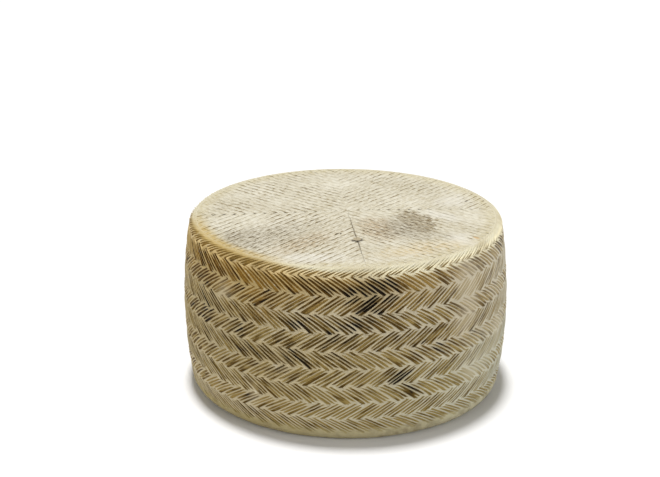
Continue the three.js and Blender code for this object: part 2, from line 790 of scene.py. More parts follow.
@dataclass(frozen=True)
class Ageing:
    """How the side has darkened, dried and worn since it was pressed.

    Attributes:
        blooms: the clusters of dark mould.
        rubs: patches where the plait is rubbed smooth.
        dry_bearing: angle from the front of the driest, palest part of the side, in degrees.
        oily_bearing: angle from the front of the oiliest, most golden part, in degrees.
        oily_reach: path lengths at which the gold begins to fade and has faded.
        oily_fray: how far the gold's lower border strays.
        small_stain: strength of the small stains between the clusters.
        patches: widths of the small stains, of the dry and rubbed patches and of the gold's.
        seed: picks the smaller patches.
    """

    blooms: tuple[Bloom, ...]
    rubs: tuple[Bloom, ...]
    dry_bearing: float = 82.0
    oily_bearing: float = -54.0
    oily_reach: tuple[float, float] = (8 * MM, 46 * MM)
    oily_fray: float = 8 * MM
    small_stain: float = 0.55
    patches: tuple[float, float, float] = (24 * MM, 30 * MM, 22 * MM)
    seed: int = 90

    @staticmethod
    def lobe(angle: Array, bearing: float) -> Array:
        """Rises from 0 to 1 on going half round the wheel to a bearing given in degrees."""
        return 0.5 + 0.5 * np.cos(angle - math.radians(bearing))

    def stain(self, angle: Array, t: Array, plain: Array, radius: float) -> Array:
        """How dark the old mould is: the clusters and small stains added up.

        Args:
            angle: angle round the wheel, in radians.
            t: path length.
            plain: places on the plain half section.
            radius: radius of the wheel.

        Returns:
            Values from 0 to 1.2.
        """
        small = smooth_step(0.25, 1.1, cloud(plain, self.patches[0], self.seed, 3))
        total = self.small_stain * small
        for bloom in self.blooms:
            total = total + bloom.at(angle, t, radius)
        return np.clip(total, 0.0, 1.2)

    def dry(self, angle: Array, plain: Array) -> Array:
        """How dry and pale the rind is: a broad lobe round the wheel with soft patches.

        Args:
            angle: angle round the wheel, in radians.
            plain: places on the plain half section.

        Returns:
            Values from 0 to 1.
        """
        lobe = self.lobe(angle, self.dry_bearing)
        patchy = 0.16 * cloud(plain, self.patches[1], self.seed + 1, 3)
        return np.clip(lobe**1.6 + patchy, 0.0, 1.0)

    def oily(self, angle: Array, t: Array, plain: Array) -> Array:
        """How golden the rind is: strongest near the upper edge, on one side of the wheel.

        Args:
            angle: angle round the wheel, in radians.
            t: path length.
            plain: places on the plain half section.

        Returns:
            Values from 0 to 1.
        """
        near, far = self.oily_reach
        frayed = t + self.oily_fray * cloud(plain, self.patches[2], self.seed + 2, 2)
        high = smooth_step(far, near, frayed)
        return np.clip(self.lobe(angle, self.oily_bearing) ** 1.5 * high, 0.0, 1.0)

    def wear(self, angle: Array, t: Array, plain: Array, radius: float) -> Array:
        """Where rubbing has smoothed the plait: mostly on the dry part, and on the rubs.

        Args:
            angle: angle round the wheel, in radians.
            t: path length.
            plain: places on the plain half section.
            radius: radius of the wheel.

        Returns:
            Values from 0 to 1.
        """
        lobe = self.lobe(angle, self.dry_bearing)
        patchy = cloud(plain, self.patches[1], self.seed + 3, 3)
        total = smooth_step(0.45, 1.3, patchy + 0.3 * lobe**2)
        for rub in self.rubs:
            total = total + rub.at(angle, t, radius)
        return np.clip(total, 0.0, 1.0)


# --- The wheel ---


@dataclass(frozen=True)
class Wander:
    """How the plait strays from its even lattice.

    Attributes:
        twist: sideways distance for each unit of height.
        level: height at which the twist is 0, as a share of the wheel's.
        swing: sideways swing that runs once round the wheel.
        double_swing: sideways swing that runs twice round it, the other way.
        aside: how far the whole plait lies to one side.
        tip: how much higher the plait lies at the viewer's right than in front.
        rise: how much higher the whole plait lies.
        crumple: how far soft patches stray, sideways and downwards.
        patches: widths of those patches.
        seed: picks the patches.
    """

    twist: float = 0.012
    level: float = 0.35
    swing: float = 0.35 * MM
    double_swing: float = 0.75 * MM
    aside: float = 0.45 * MM
    tip: float = 0.55 * MM
    rise: float = 0.3 * MM
    crumple: tuple[float, float] = (0.3 * MM, 0.25 * MM)
    patches: tuple[float, float] = (40 * MM, 38 * MM)
    seed: int = 301

    def at(self, plain: Array, height: float) -> tuple[Array, Array]:
        """How far the plait strays: sines of the bearing, a twist and soft patches added up.

        Args:
            plain: places on the plain half section.
            height: height of the wheel.

        Returns:
            Distances round the wheel and down it.
        """
        bearing = np.arctan2(plain[..., 0], -plain[..., 1])
        swing = self.swing * np.sin(bearing) - self.double_swing * np.sin(2.0 * bearing)
        twist = self.twist * (plain[..., 2] - self.level * height)
        aside = self.crumple[0] * cloud(plain, self.patches[0], self.seed, 2)
        down = self.crumple[1] * cloud(plain, self.patches[1], self.seed + 1, 2)
        return aside + swing - self.aside + twist, down - self.tip * np.sin(bearing) - self.rise


@dataclass(frozen=True)
class Atlas:
    """Where the wheel lies on the unit square that holds its whole surface once.

    Attributes:
        margin: gap beside the two strips of the side.
        top: upper edge of the front strip.
        strip: height of a strip.
        step: distance from the front strip down to the back strip.
        disc: radius of a face's disc.
        top_disc: middle of the top face's disc.
        foot_disc: middle of the underside's disc.
    """

    margin: float = 0.003
    top: float = 0.998
    strip: float = 0.285
    step: float = 0.292
    disc: float = 0.2
    top_disc: tuple[float, float] = (0.21, 0.205)
    foot_disc: tuple[float, float] = (0.66, 0.205)


@dataclass
class CheeseWheel:
    """The whole wheel as one closed mesh, with its imprints and its ageing.

    Attributes:
        section: the half section that it is turned from.
        belt: the plait on the side.
        top_board: the board on the top face.
        foot_board: the board on the underside.
        ageing: what time has done to the side.
        wander: how the plait strays.
        atlas: where the surface lies on its map.
        columns: mesh columns to each stroke of the plait.
        groove_depth: depth of the plait's deepest strokes.
        groove_start: path lengths between which the strokes reach their depth.
        mould_start: path lengths between which the mould in them sets in.
        oily_lead: how much earlier it sets in where the rind is oiliest.
        worn_share: how much of a stroke's depth is lost where the plait is rubbed.
        row_swell: how far the middle of a row stands proud of its ends.
        roughness: height of the side's small unevenness.
        rough_patch: width of its widest parts.
        proud: how far the side stands proud of the half section.
        cap: how much further its highest spots may stand.
        sag: how far the foot of the side has spread on the side that it sags to.
        sag_bearing: angle from the front of that side, in degrees.
        flat_start: path length of the side's first ring, which lies on the flat top.
        seam_ring: width of the plain ring between a board's imprint and the side's first ring.
        seed: picks the unevenness.
    """

    section: HalfSection
    belt: PlaitedBelt
    top_board: CarvedBoard
    foot_board: CarvedBoard
    ageing: Ageing
    wander: Wander = Wander()
    atlas: Atlas = Atlas()
    columns: int = 5
    groove_depth: float = 0.95 * MM
    groove_start: tuple[float, float] = (-0.2 * MM, 3.8 * MM)
    mould_start: tuple[float, float] = (3.4 * MM, 6.6 * MM)
    oily_lead: float = 3.6 * MM
    worn_share: float = 0.7
    row_swell: float = 0.3 * MM
    roughness: float = 0.14 * MM
    rough_patch: float = 8 * MM
    proud: float = 0.1 * MM
    cap: float = 0.25 * MM
    sag: float = 1.0 * MM
    sag_bearing: float = 58.0
    flat_start: float = -0.2 * MM
    seam_ring: float = 0.5 * MM
    seed: int = 303

    def lift(
        self,
        angle: Array,
        t: Array,
        plain: Array,
        v: Array,
        imprint: Array,
        calm: Array,
    ) -> Array:
        """How far the side stands proud of the half section, along its normal.

        A row swells as sin(pi * v) - 1, a smooth random field roughens it, and the strokes are
        let in. The foot of the side has spread as the square of a lobe round the wheel.

        Args:
            angle: angle round the wheel, in radians.
            t: path length.
            plain: places on the plain half section.
            v: share of the row that lies above each place.
            imprint: depth of the strokes, as a share of the deepest.
            calm: 1 on the side, falling to 0 on both edges.

        Returns:
            Heights, below 0 where the surface is let in.
        """
        end = self.section.length
        swell = self.row_swell * (np.sin(math.pi * np.clip(v, 0, 1)) - 1.0) * calm
        rough = self.roughness * cloud(plain, self.rough_patch, self.seed, 3)
        rough = rough * smooth_step(0, 4 * MM, t)
        groove = self.groove_depth * imprint * smooth_step(*self.groove_start, t)
        lift = np.minimum(swell + rough - groove, self.cap) + self.proud * calm
        towards = self.ageing.lobe(angle, self.sag_bearing) ** 2
        lift = lift + self.sag * towards * smooth_step(20 * MM, 95 * MM, t)
        return lift * smooth_step(end + 0.1 * MM, end - 5 * MM, t)

    def side(self) -> dict[str, Array]:
        """The grid of the side, from the flat top over both edges to the underside.

        Columns follow the strokes, so they zigzag from row to row. A vertex is the half
        section's point at its path length, turned to its column's angle, and moved along the
        section's normal by the lift. The whole grid strays a little round and down the wheel.
        The cut is lowered where the mould hasn't set in, so that none shows there.

        Returns:
            Places and attributes, with a row for each ring, the first at the top.
        """
        belt, section, ageing = self.belt, self.section, self.ageing
        count = belt.blades * 3 * self.columns
        t = belt.stations(self.flat_start, section.length)
        column = (np.arange(count) - count // 2) * belt.stroke / self.columns
        t = np.repeat(t[:, None], count, axis=1)
        woven = np.clip(t, belt.line(0), belt.line(belt.rows))
        number = np.clip(belt.row_of(woven), 0, belt.rows - 1)
        v = (woven - belt.line(number)) / (belt.line(number + 1) - belt.line(number))
        x = column[None] + belt.shift(woven, number)
        strokes = belt.strokes(x, t)
        angle = x / belt.radius
        r, z, _, _ = section.at(t)
        plain = np.stack([r * np.sin(angle), -r * np.cos(angle), z], -1)
        oily = ageing.oily(angle, t, plain)
        wear = ageing.wear(angle, t, plain, belt.radius) * smooth_step(2 * MM, 9 * MM, t)
        calm = smooth_step(0.0, 9 * MM, t) * smooth_step(section.length, 100 * MM, t)
        imprint = strokes.depth * (1.0 - self.worn_share * wear)
        lift = self.lift(angle, t, plain, v, imprint, calm)
        aside, down = self.wander.at(plain, section.height)
        moved = angle + aside * calm / belt.radius
        r, z, out, up = section.at(t + down * calm)
        r = r + out * lift
        early = self.oily_lead * oily**4
        begins, full = self.mould_start
        filled = smooth_step(begins - early, full - early, t)
        return {
            "places": np.stack([r * np.sin(moved), -r * np.cos(moved), z + up * lift], -1),
            "t": t,
            "cut": strokes.cut - 1.4 * (1.0 - filled) - 2.0 * smooth_step(MM, 0.0, t),
            "tone": strokes.tone,
            "smear": strokes.smear * filled,
            "stain": ageing.stain(angle, t, plain, belt.radius),
            "dry": ageing.dry(angle, plain),
            "oily": oily,
            "wear": wear,
        }

    def face(self, board: CarvedBoard, radius: float) -> dict[str, Array]:
        """The grid of one flat face inside a circle, as seen from above.

        Args:
            board: the board whose grooves it carries.
            radius: the circle's radius.

        Returns:
            Places on the plane z = 0, how far each is let down, triangles, the vertices on the
            circle in the order of their angles, and map coordinates for the corners.
        """
        quarters = [board.quarter(number, radius) for number in range(4)]
        sizes = [one["x"].size for one in quarters]
        starts = np.cumsum([0, *sizes[:-1]])
        x, y, groove, along = (
            np.concatenate([one[key].ravel() for one in quarters])
            for key in ("x", "y", "groove", "along")
        )
        faces = np.concatenate([one["faces"] + start for one, start in zip(quarters, starts)])
        quarter = np.repeat(np.arange(4), sizes)
        keys = np.round(np.stack([x, y], -1) / WELD).astype(np.int64)
        _, first, same = np.unique(keys, axis=0, return_index=True, return_inverse=True)
        triangles = np.concatenate([faces[:, [0, 1, 2]], faces[:, [0, 2, 3]]])
        welded = same.reshape(-1)[triangles]
        whole = (
            (welded[:, 0] != welded[:, 1])
            & (welded[:, 1] != welded[:, 2])
            & (welded[:, 2] != welded[:, 0])
        )
        imprint = np.stack([groove + board.apart * quarter, along / board.pitch], -1)
        x, y, groove = x[first], y[first], groove[first]
        on_circle = np.flatnonzero(np.hypot(x, y) > radius - 10.0 * WELD)
        turn = np.arctan2(x[on_circle], -y[on_circle]) % TURN
        order = np.argsort(turn)
        return {
            "places": np.stack([x, y, np.zeros_like(x)], -1),
            "let_down": board.relief(x, y, groove, radius),
            "triangles": welded[whole],
            "imprint": imprint[triangles[whole]].reshape(-1, 2),
            "ring": on_circle[order],
            "turn": turn[order],
        }

    def build(self) -> bpy.types.Object:
        """Makes the closed mesh: the side, both faces and the two strips that join them.

        Returns:
            The wheel, with its UV maps and attributes.
        """
        side = self.side()
        rings, count = side["t"].shape
        ends = self.section.at(np.array([self.flat_start, self.section.length]))[0]
        top_radius, foot_radius = (float(end) - self.seam_ring for end in ends)
        top = self.face(self.top_board, top_radius)
        foot = self.face(self.foot_board, foot_radius)
        n_side, n_top = rings * count, len(top["places"])

        column = np.arange(count)
        after = (column + 1) % count
        upper, lower = np.arange(rings - 1)[:, None] * count, np.arange(1, rings)[:, None] * count
        quads = np.stack([upper + column, lower + column, lower + after, upper + after], -1)
        quads = quads.reshape(-1, 4)

        place_top = top["places"].copy()
        place_top[:, 2] = self.section.height - top["let_down"]
        place_foot = foot["places"].copy()
        place_foot[:, 2] = foot["let_down"] - foot["let_down"].min()
        place_side = side["places"].reshape(-1, 3)
        places = np.concatenate([place_side, place_top, place_foot])

        last = (rings - 1) * count
        strips = (
            self.strip(place_side[:count], 0, top, n_side),
            self.strip(place_side[last:], last, foot, n_side + n_top)[:, ::-1],
        )
        under = foot["triangles"][:, ::-1] + n_side + n_top
        triangles = np.concatenate([top["triangles"] + n_side, under, *strips])
        values = self.values(side, places, n_top, foot_radius)
        maps = self.maps(places, side["t"], triangles, top["imprint"], foot["imprint"])
        return write_mesh("cheese_wheel_rind", places, quads, triangles, maps, values)

    @staticmethod
    def strip(rim: Array, first: int, face: dict[str, Array], start: int) -> Array:
        """Joins a ring of the side to a face.

        Args:
            rim: the ring's places.
            first: number of the ring's first vertex.
            face: the face's grid.
            start: number of the face's first vertex.

        Returns:
            Triangles as vertex numbers, facing up.
        """
        turn = np.arctan2(rim[:, 0], -rim[:, 1]) % TURN
        order = np.argsort(turn)
        return zip_rings(face["ring"] + start, order + first, face["turn"], turn[order])

    def values(
        self, side: dict[str, Array], places: Array, n_top: int, foot_radius: float
    ) -> dict[str, Array]:
        """The attributes of all the vertices: the side's own, then even ones for the faces.

        The path length goes on over both faces, in millimetres: below 0 on the top face and
        above the section's length on the underside.

        Args:
            side: the side's grid.
            places: all the vertices, the side's first and then the top face's.
            n_top: how many vertices the top face has.
            foot_radius: radius of the underside's grid.

        Returns:
            The attributes by name, with one number for each vertex.
        """
        section, n_side = self.section, side["t"].size
        flat_top, under = slice(n_side, n_side + n_top), slice(n_side + n_top, None)
        on_faces = {"cut": -2.0, "tone": 0, "smear": 0, "stain": 0, "dry": 0.5, "oily": 0, "wear": 0}
        values = {
            key: np.concatenate([side[key].ravel(), np.full(len(places) - n_side, float(value))])
            for key, value in on_faces.items()
        }
        r = np.hypot(places[:, 0], places[:, 1])
        path = np.concatenate([side["t"].ravel(), np.zeros(len(places) - n_side)])
        path[flat_top] = r[flat_top] - section.top_radius + section.top_round
        path[under] = section.length + foot_radius - r[under]
        top = places[flat_top]
        bearing = np.arctan2(top[:, 0], -top[:, 1])
        values["oily"][flat_top] = self.ageing.oily(bearing, path[flat_top], top)
        values["path"] = path / MM
        return values

    def maps(
        self,
        places: Array,
        t: Array,
        triangles: Array,
        top_imprint: Array,
        foot_imprint: Array,
    ) -> dict[str, Array]:
        """Lays out the UV maps.

        The first map holds the whole surface once in the unit square: the front and the back of
        the side as two strips with the columns upright, above the two faces as discs. The second
        holds the strokes' and grooves' own coordinates, counted in strokes and in grooves.

        Args:
            places: all the vertices.
            t: path length of the side's grid.
            triangles: the faces' triangles, followed by the two joining strips.
            top_imprint: groove coordinates of the top face's corners.
            foot_imprint: groove coordinates of the underside's corners, before it was turned over.

        Returns:
            The two maps by name, with two numbers for each corner.
        """
        atlas = self.atlas
        rings, count = t.shape
        half, quarter = count // 2, count // 4
        column = np.tile(np.arange(count), rings - 1)
        ring = np.repeat(np.arange(rings - 1), count)
        across = np.array([0, 0, 1, 1])
        row = ring[:, None] + np.array([0, 1, 1, 0])
        from_quarter = (column - quarter) % count
        back = (from_quarter >= half)[:, None]
        down = (t[:, 0] - t[0, 0]) / (t[-1, 0] - t[0, 0])
        share = (from_quarter[:, None] + across - half * back) / half
        u = atlas.margin + (1.0 - 2.0 * atlas.margin) * share
        v = atlas.top - atlas.step * back - atlas.strip * down[row]
        atlas_side = np.stack([u, v], -1).reshape(-1, 2)
        stroke = (column[:, None] + across) / self.columns
        imprint_side = np.stack([stroke, t[:, 0][row] / self.belt.stroke], -1).reshape(-1, 2)
        corner = triangles.ravel()
        low = (places[corner, 2] < self.section.height / 2.0)[:, None]
        middle = np.where(low, atlas.foot_disc, atlas.top_disc)
        atlas_face = middle + atlas.disc * places[corner, :2] / self.section.radius
        foot = foot_imprint.reshape(-1, 3, 2)[:, ::-1].reshape(-1, 2)
        rest = np.full((len(corner) - len(top_imprint) - len(foot), 2), 0.5)
        return {
            "OFBake": np.concatenate([atlas_side, atlas_face]),
            "imprint": np.concatenate([imprint_side, top_imprint, foot, rest]),
        }


# --- Shader helpers ---


def linear(red: int, green: int, blue: int) -> Colour:
    """Turns a display colour into the linear one that shaders use.

    Args:
        red: from 0 to 255.
        green: from 0 to 255.
        blue: from 0 to 255.

    Returns:
        Red, green, blue and alpha, from 0 to 1.
    """
    parts = []
    for part in (red, green, blue):
        share = part / 255.0
        parts.append(share / 12.92 if share <= 0.04045 else ((share + 0.055) / 1.055) ** 2.4)
    return (*parts, 1.0)


class Blend(Enum):
    """Ways to lay one colour over another."""

    MIX = "MIX"
    DARKEN = "MULTIPLY"


class Graph:
    """A thin helper that places and links nodes in one tree."""

    def __init__(self, tree: bpy.types.NodeTree) -> None:
        """Starts on a tree.

        Args:
            tree: a material's tree or a node group.
        """
        self.tree = tree

    def feed(self, socket: Socket, value: Feed) -> None:
        """Links an output to an input, or sets the input's own value.

        Args:
            socket: the input.
            value: another node's output, or a number, vector or colour.
        """
        if isinstance(value, Socket):
            self.tree.links.new(value, socket)
        else:
            socket.default_value = value

    def node(self, kind: str, settings: dict | None = None, **sockets: Feed) -> bpy.types.Node:
        """Adds a node.

        Args:
            kind: the node's type, such as "ShaderNodeMath".
            settings: properties of the node itself.
            **sockets: values or output sockets for its inputs, by name with _ for a blank.

        Returns:
            The node.
        """
        made = self.tree.nodes.new(kind)
        for key, value in (settings or {}).items():
            setattr(made, key, value)
        for key, value in sockets.items():
            self.feed(made.inputs[key.replace("_", " ")], value)
        return made

    def math(self, operation: str, a: Feed, b: Feed = 0.5, c: Feed = 0.5) -> Socket:
        """Adds a Math node.

        Args:
            operation: what it works out.
            a: its first value.
            b: its second value, if it takes one.
            c: its third value, if it takes one.

        Returns:
            The result.
        """
        made = self.node("ShaderNodeMath", {"operation": operation})
        for socket, value in zip(made.inputs, (a, b, c)):
            self.feed(socket, value)
        return made.outputs[0]

    def times(self, a: Feed, b: Feed) -> Socket:
        """One value times another."""
        return self.math("MULTIPLY", a, b)

    def times_plus(self, a: Feed, b: Feed, c: Feed) -> Socket:
        """One value times another, plus a third."""
        return self.math("MULTIPLY_ADD", a, b, c)

    def vectors(self, operation: str, a: Feed, b: Feed) -> Socket:
        """Adds a Vector Math node.

        Args:
            operation: what it works out.
            a: its first vector.
            b: its second vector.

        Returns:
            The resulting vector.
        """
        made = self.node("ShaderNodeVectorMath", {"operation": operation})
        self.feed(made.inputs[0], a)
        self.feed(made.inputs[1], b)
        return made.outputs[0]

    def step(
        self, value: Feed, low: Feed, high: Feed, floor: float = 0.0, top: float = 1.0
    ) -> Socket:
        """Maps a value smoothly from one span to another.

        Args:
            value: what is mapped.
            low: the value at which the result is the floor; it may be above high.
            high: the value at which the result is the top.
            floor: the first end of the result.
            top: the other end.

        Returns:
            The result, which stays between floor and top.
        """
        made = self.node(
            "ShaderNodeMapRange",
            {"interpolation_type": "SMOOTHSTEP"},
            Value=value,
            From_Min=low,
            From_Max=high,
            To_Min=floor,
            To_Max=top,
        )
        return made.outputs["Result"]

    def mix(self, share: Feed, under: Feed, over: Feed, blend: Blend = Blend.MIX) -> Socket:
        """Lays one colour over another.

        Args:
            share: from 0, all under, to 1, all over.
            under: the colour below.
            over: the colour above.
            blend: how it is laid on.

        Returns:
            The colour.
        """
        made = self.node(
            "ShaderNodeMix",
            {"data_type": "RGBA", "blend_type": blend.value, "clamp_factor": True},
        )
        self.feed(made.inputs[0], share)
        self.feed(made.inputs[6], under)
        self.feed(made.inputs[7], over)
        return made.outputs[2]

    def noise(self, vector: Feed, scale: Feed, detail: float = 3.0, rough: float = 0.5) -> Socket:
        """Adds a noise texture.

        Args:
            vector: where it is read.
            scale: how many blobs there are to each unit.
            detail: layers of finer noise.
            rough: how strong the finer layers are.

        Returns:
            Its value, from 0 to 1.
        """
        made = self.node(
            "ShaderNodeTexNoise", Vector=vector, Scale=scale, Detail=detail, Roughness=rough
        )
        return made.outputs["Fac"]

    def vector(self, x: Feed, y: Feed, z: Feed) -> Socket:
        """A vector made of three values."""
        return self.node("ShaderNodeCombineXYZ", X=x, Y=y, Z=z).outputs[0]

    def attribute(self, name: str) -> Socket:
        """The value of one of the mesh's attributes."""
        return self.node("ShaderNodeAttribute", {"attribute_name": name}).outputs["Fac"]

    def group(self, tree: bpy.types.NodeTree, **sockets: Feed) -> bpy.types.Node:
        """A shared group, with values or sockets for its inputs, by name with _ for a blank."""
        return self.node("ShaderNodeGroup", {"node_tree": tree}, **sockets)


class SharedGroup:
    """A node group that is made once and then used wherever it is called for.

    Attributes:
        name: the group's name.
        takes: name and kind of each input.
        gives: names of the outputs, which are all single values.
    """

    name = ""
    takes: tuple[tuple[str, str], ...] = ()
    gives: tuple[str, ...] = ()

    @classmethod
    def tree(cls) -> bpy.types.NodeTree:
        """Finds the group, or makes it with its named inputs and outputs.

        Returns:
            The group's tree.
        """
        if cls.name in bpy.data.node_groups:
            return bpy.data.node_groups[cls.name]
        made = bpy.data.node_groups.new(cls.name, "ShaderNodeTree")
        for title, kind in cls.takes:
            made.interface.new_socket(title, in_out="INPUT", socket_type="NodeSocket" + kind)
        for title in cls.gives:
            made.interface.new_socket(title, in_out="OUTPUT", socket_type="NodeSocketFloat")
        came = made.nodes.new("NodeGroupInput")
        goes = made.nodes.new("NodeGroupOutput")
        cls.wire(Graph(made), came.outputs, goes.inputs)
        return made

    @classmethod
    def wire(cls, graph: Graph, came: Sockets, goes: Sockets) -> None:
        """Fills the group.

        Args:
            graph: the group's graph.
            came: what comes in.
            goes: where the results go.
        """
        raise NotImplementedError


class Mottle(SharedGroup):
    """Cloudy variation, sparse flecks and a fine grain, in the same size ratio everywhere."""

    name = "mottle"
    takes = (("Vector", "Vector"), ("Scale", "Float"))
    gives = ("Cloud", "Fleck", "Grain")

    @classmethod
    def wire(cls, graph: Graph, came: Sockets, goes: Sockets) -> None:
        """The flecks are 9 times and the grain 40 times finer than the clouds.

        Args:
            graph: the group's graph.
            came: what comes in.
            goes: where the results go.
        """
        vector, scale = came["Vector"], came["Scale"]
        wide = graph.noise(vector, scale, 4.0, 0.6)
        fine = graph.noise(vector, graph.times(scale, 9.0), 3.0, 0.6)
        grain = graph.noise(vector, graph.times(scale, 40.0), 3.0, 0.65)
        graph.feed(goes["Cloud"], graph.step(wide, 0.32, 0.68))
        graph.feed(goes["Fleck"], graph.step(fine, 0.58, 0.72))
        graph.feed(goes["Grain"], grain)


class Streaks(SharedGroup):
    """Broken streaks that run along the second coordinate of an imprint."""

    name = "streaks"
    takes = (("Across", "Float"), ("Along", "Float"), ("Ply", "Float"), ("Stretch", "Float"))
    gives = ("Streak", "Break")

    @classmethod
    def wire(cls, graph: Graph, came: Sockets, goes: Sockets) -> None:
        """Streaks are noise stretched along; breaks are a coarser noise of the same kind.

        Args:
            graph: the group's graph.
            came: what comes in.
            goes: where the results go.
        """
        across = graph.times(came["Across"], came["Ply"])
        along = graph.times(came["Along"], came["Stretch"])
        fibre = graph.noise(graph.vector(across, along, 0.0), 1.0, 3.0, 0.6)
        coarse = graph.vector(graph.times(across, 0.35), along, 7.0)
        graph.feed(goes["Streak"], graph.step(fibre, 0.35, 0.65))
        graph.feed(goes["Break"], graph.step(graph.noise(coarse, 0.7, 2.0), 0.38, 0.62))


class Patch(SharedGroup):
    """A ragged patch round a point."""

    name = "patch"
    takes = (
        ("Vector", "Vector"),
        ("Centre", "Vector"),
        ("Turn", "Float"),
        ("Reach", "Vector"),
        ("Soft", "Float"),
        ("Rag", "Float"),
    )
    gives = ("Mask",)

    @classmethod
    def wire(cls, graph: Graph, came: Sockets, goes: Sockets) -> None:
        """The mask is 1 inside an ellipse and fades out over Soft; Rag stirs the outline.

        Args:
            graph: the group's graph.
            came: what comes in.
            goes: where the results go.
        """
        vector, centre, rag, soft = (came[key] for key in ("Vector", "Centre", "Rag", "Soft"))
        noise = graph.node("ShaderNodeTexNoise", Vector=vector, Scale=150.0, Detail=3.0)
        stir = graph.vectors("SUBTRACT", noise.outputs["Color"], (0.5, 0.5, 0.5))
        strayed = graph.vectors("MULTIPLY", stir, graph.vector(rag, rag, rag))
        moved = graph.vectors("ADD", vector, strayed)
        turned = graph.node(
            "ShaderNodeVectorRotate",
            {"rotation_type": "Z_AXIS"},
            Vector=moved,
            Center=centre,
            Angle=graph.times(came["Turn"], -1.0),
        )
        away = graph.vectors("SUBTRACT", turned.outputs[0], centre)
        shares = graph.vectors("DIVIDE", away, came["Reach"])
        length = graph.node("ShaderNodeVectorMath", {"operation": "LENGTH"}, Vector=shares)
        outer, inner = graph.math("ADD", soft, 1.0), graph.math("SUBTRACT", 1.0, soft)
        graph.feed(goes["Mask"], graph.step(length.outputs["Value"], outer, inner))


@dataclass(frozen=True)
class Imprint:
    """An imprint's own coordinates and the broken streaks along it, as sockets.

    Attributes:
        across: counts strokes or grooves.
        along: runs along them.
        streak: fine streaks along them.
        broken: coarse breaks in the streaks.
    """

    across: Socket
    along: Socket
    streak: Socket
    broken: Socket

    @classmethod
    def read(cls, graph: Graph, ply: float, stretch: float) -> "Imprint":
        """Reads the coordinates from their map and lays the streaks along them.

        Args:
            graph: the material's graph.
            ply: streaks to each stroke or groove.
            stretch: how often the streaks change along it.

        Returns:
            The imprint's sockets.
        """
        uv = graph.node("ShaderNodeUVMap", {"uv_map": "imprint"}).outputs[0]
        across, along, _ = graph.node("ShaderNodeSeparateXYZ", Vector=uv).outputs
        made = graph.group(Streaks.tree(), Across=across, Along=along, Ply=ply, Stretch=stretch)
        return cls(across, along, made.outputs["Streak"], made.outputs["Break"])


@dataclass(frozen=True)
class SideState:
    """What the side's colours are worked out from, as sockets.

    Attributes:
        path: path length from the start of the upper edge, in millimetres.
        dry: how dry the rind is.
        oily: how golden it is.
        wear: how far rubbing has smoothed the plait.
        stain: how dark the old mould is.
        cloudy: cloudy variation.
        fleck: sparse flecks.
        imprint: the strokes' coordinates and streaks.
    """

    path: Socket
    dry: Socket
    oily: Socket
    wear: Socket
    stain: Socket
    cloudy: Socket
    fleck: Socket
    imprint: Imprint

    @classmethod
    def read(cls, graph: Graph, mottle: bpy.types.Node) -> "SideState":
        """Reads the mesh's attributes and its imprint.

        Args:
            graph: the material's graph.
            mottle: the shared mottle.

        Returns:
            The state.
        """
        values = [graph.attribute(name) for name in ("path", "dry", "oily", "wear", "stain")]
        cloudy, fleck = mottle.outputs["Cloud"], mottle.outputs["Fleck"]
        return cls(*values, cloudy, fleck, Imprint.read(graph, ply=3.0, stretch=0.9))


# --- Finishes ---


class Kind(Enum):
    """What a mark on the top face is."""

    BLOOM = "dry white bloom"
    # Dirt patches, one of them partly a painted shadow; a mark of this kind also darkens the
    # grooves.
    GRIME_AND_SHADE = "dirt, which gathers in the grooves"
    SCAR = "a scar, split or speck, which covers the imprint"


@dataclass(frozen=True)
class Mark:
    """A patch or speck on the top face.

    Attributes:
        kind: what it is.
        x: its middle, to the viewer's right of the wheel's axis.
        y: its middle, away from the viewer.
        long: half its length.
        wide: half its width.
        turn: direction of its length from +X, in degrees.
        colour: its colour.
        strength: how much of the rind's own colour it covers.
        soft: how wide its edge is, as a share of its size.
        rag: how far its outline strays.
    """

    kind: Kind
    x: float
    y: float
    long: float
    wide: float
    turn: float
    colour: Colour
    strength: float
    soft: float = 0.4
    rag: float = 16 * MM

    def mask(self, graph: Graph, place: Socket, height: float) -> Socket:
        """The mark's share of the top face's colour.

        Args:
            graph: the material's graph.
            place: object coordinates.
            height: height of the top face.

        Returns:
            Values from 0 to the strength.
        """
        patch = graph.group(
            Patch.tree(),
            Vector=place,
            Centre=(self.x, self.y, height),
            Turn=math.radians(self.turn),
            Reach=(self.long, self.wide, 10 * MM),
            Soft=self.soft,
            Rag=self.rag,
        )
        return graph.times(patch.outputs["Mask"], self.strength)


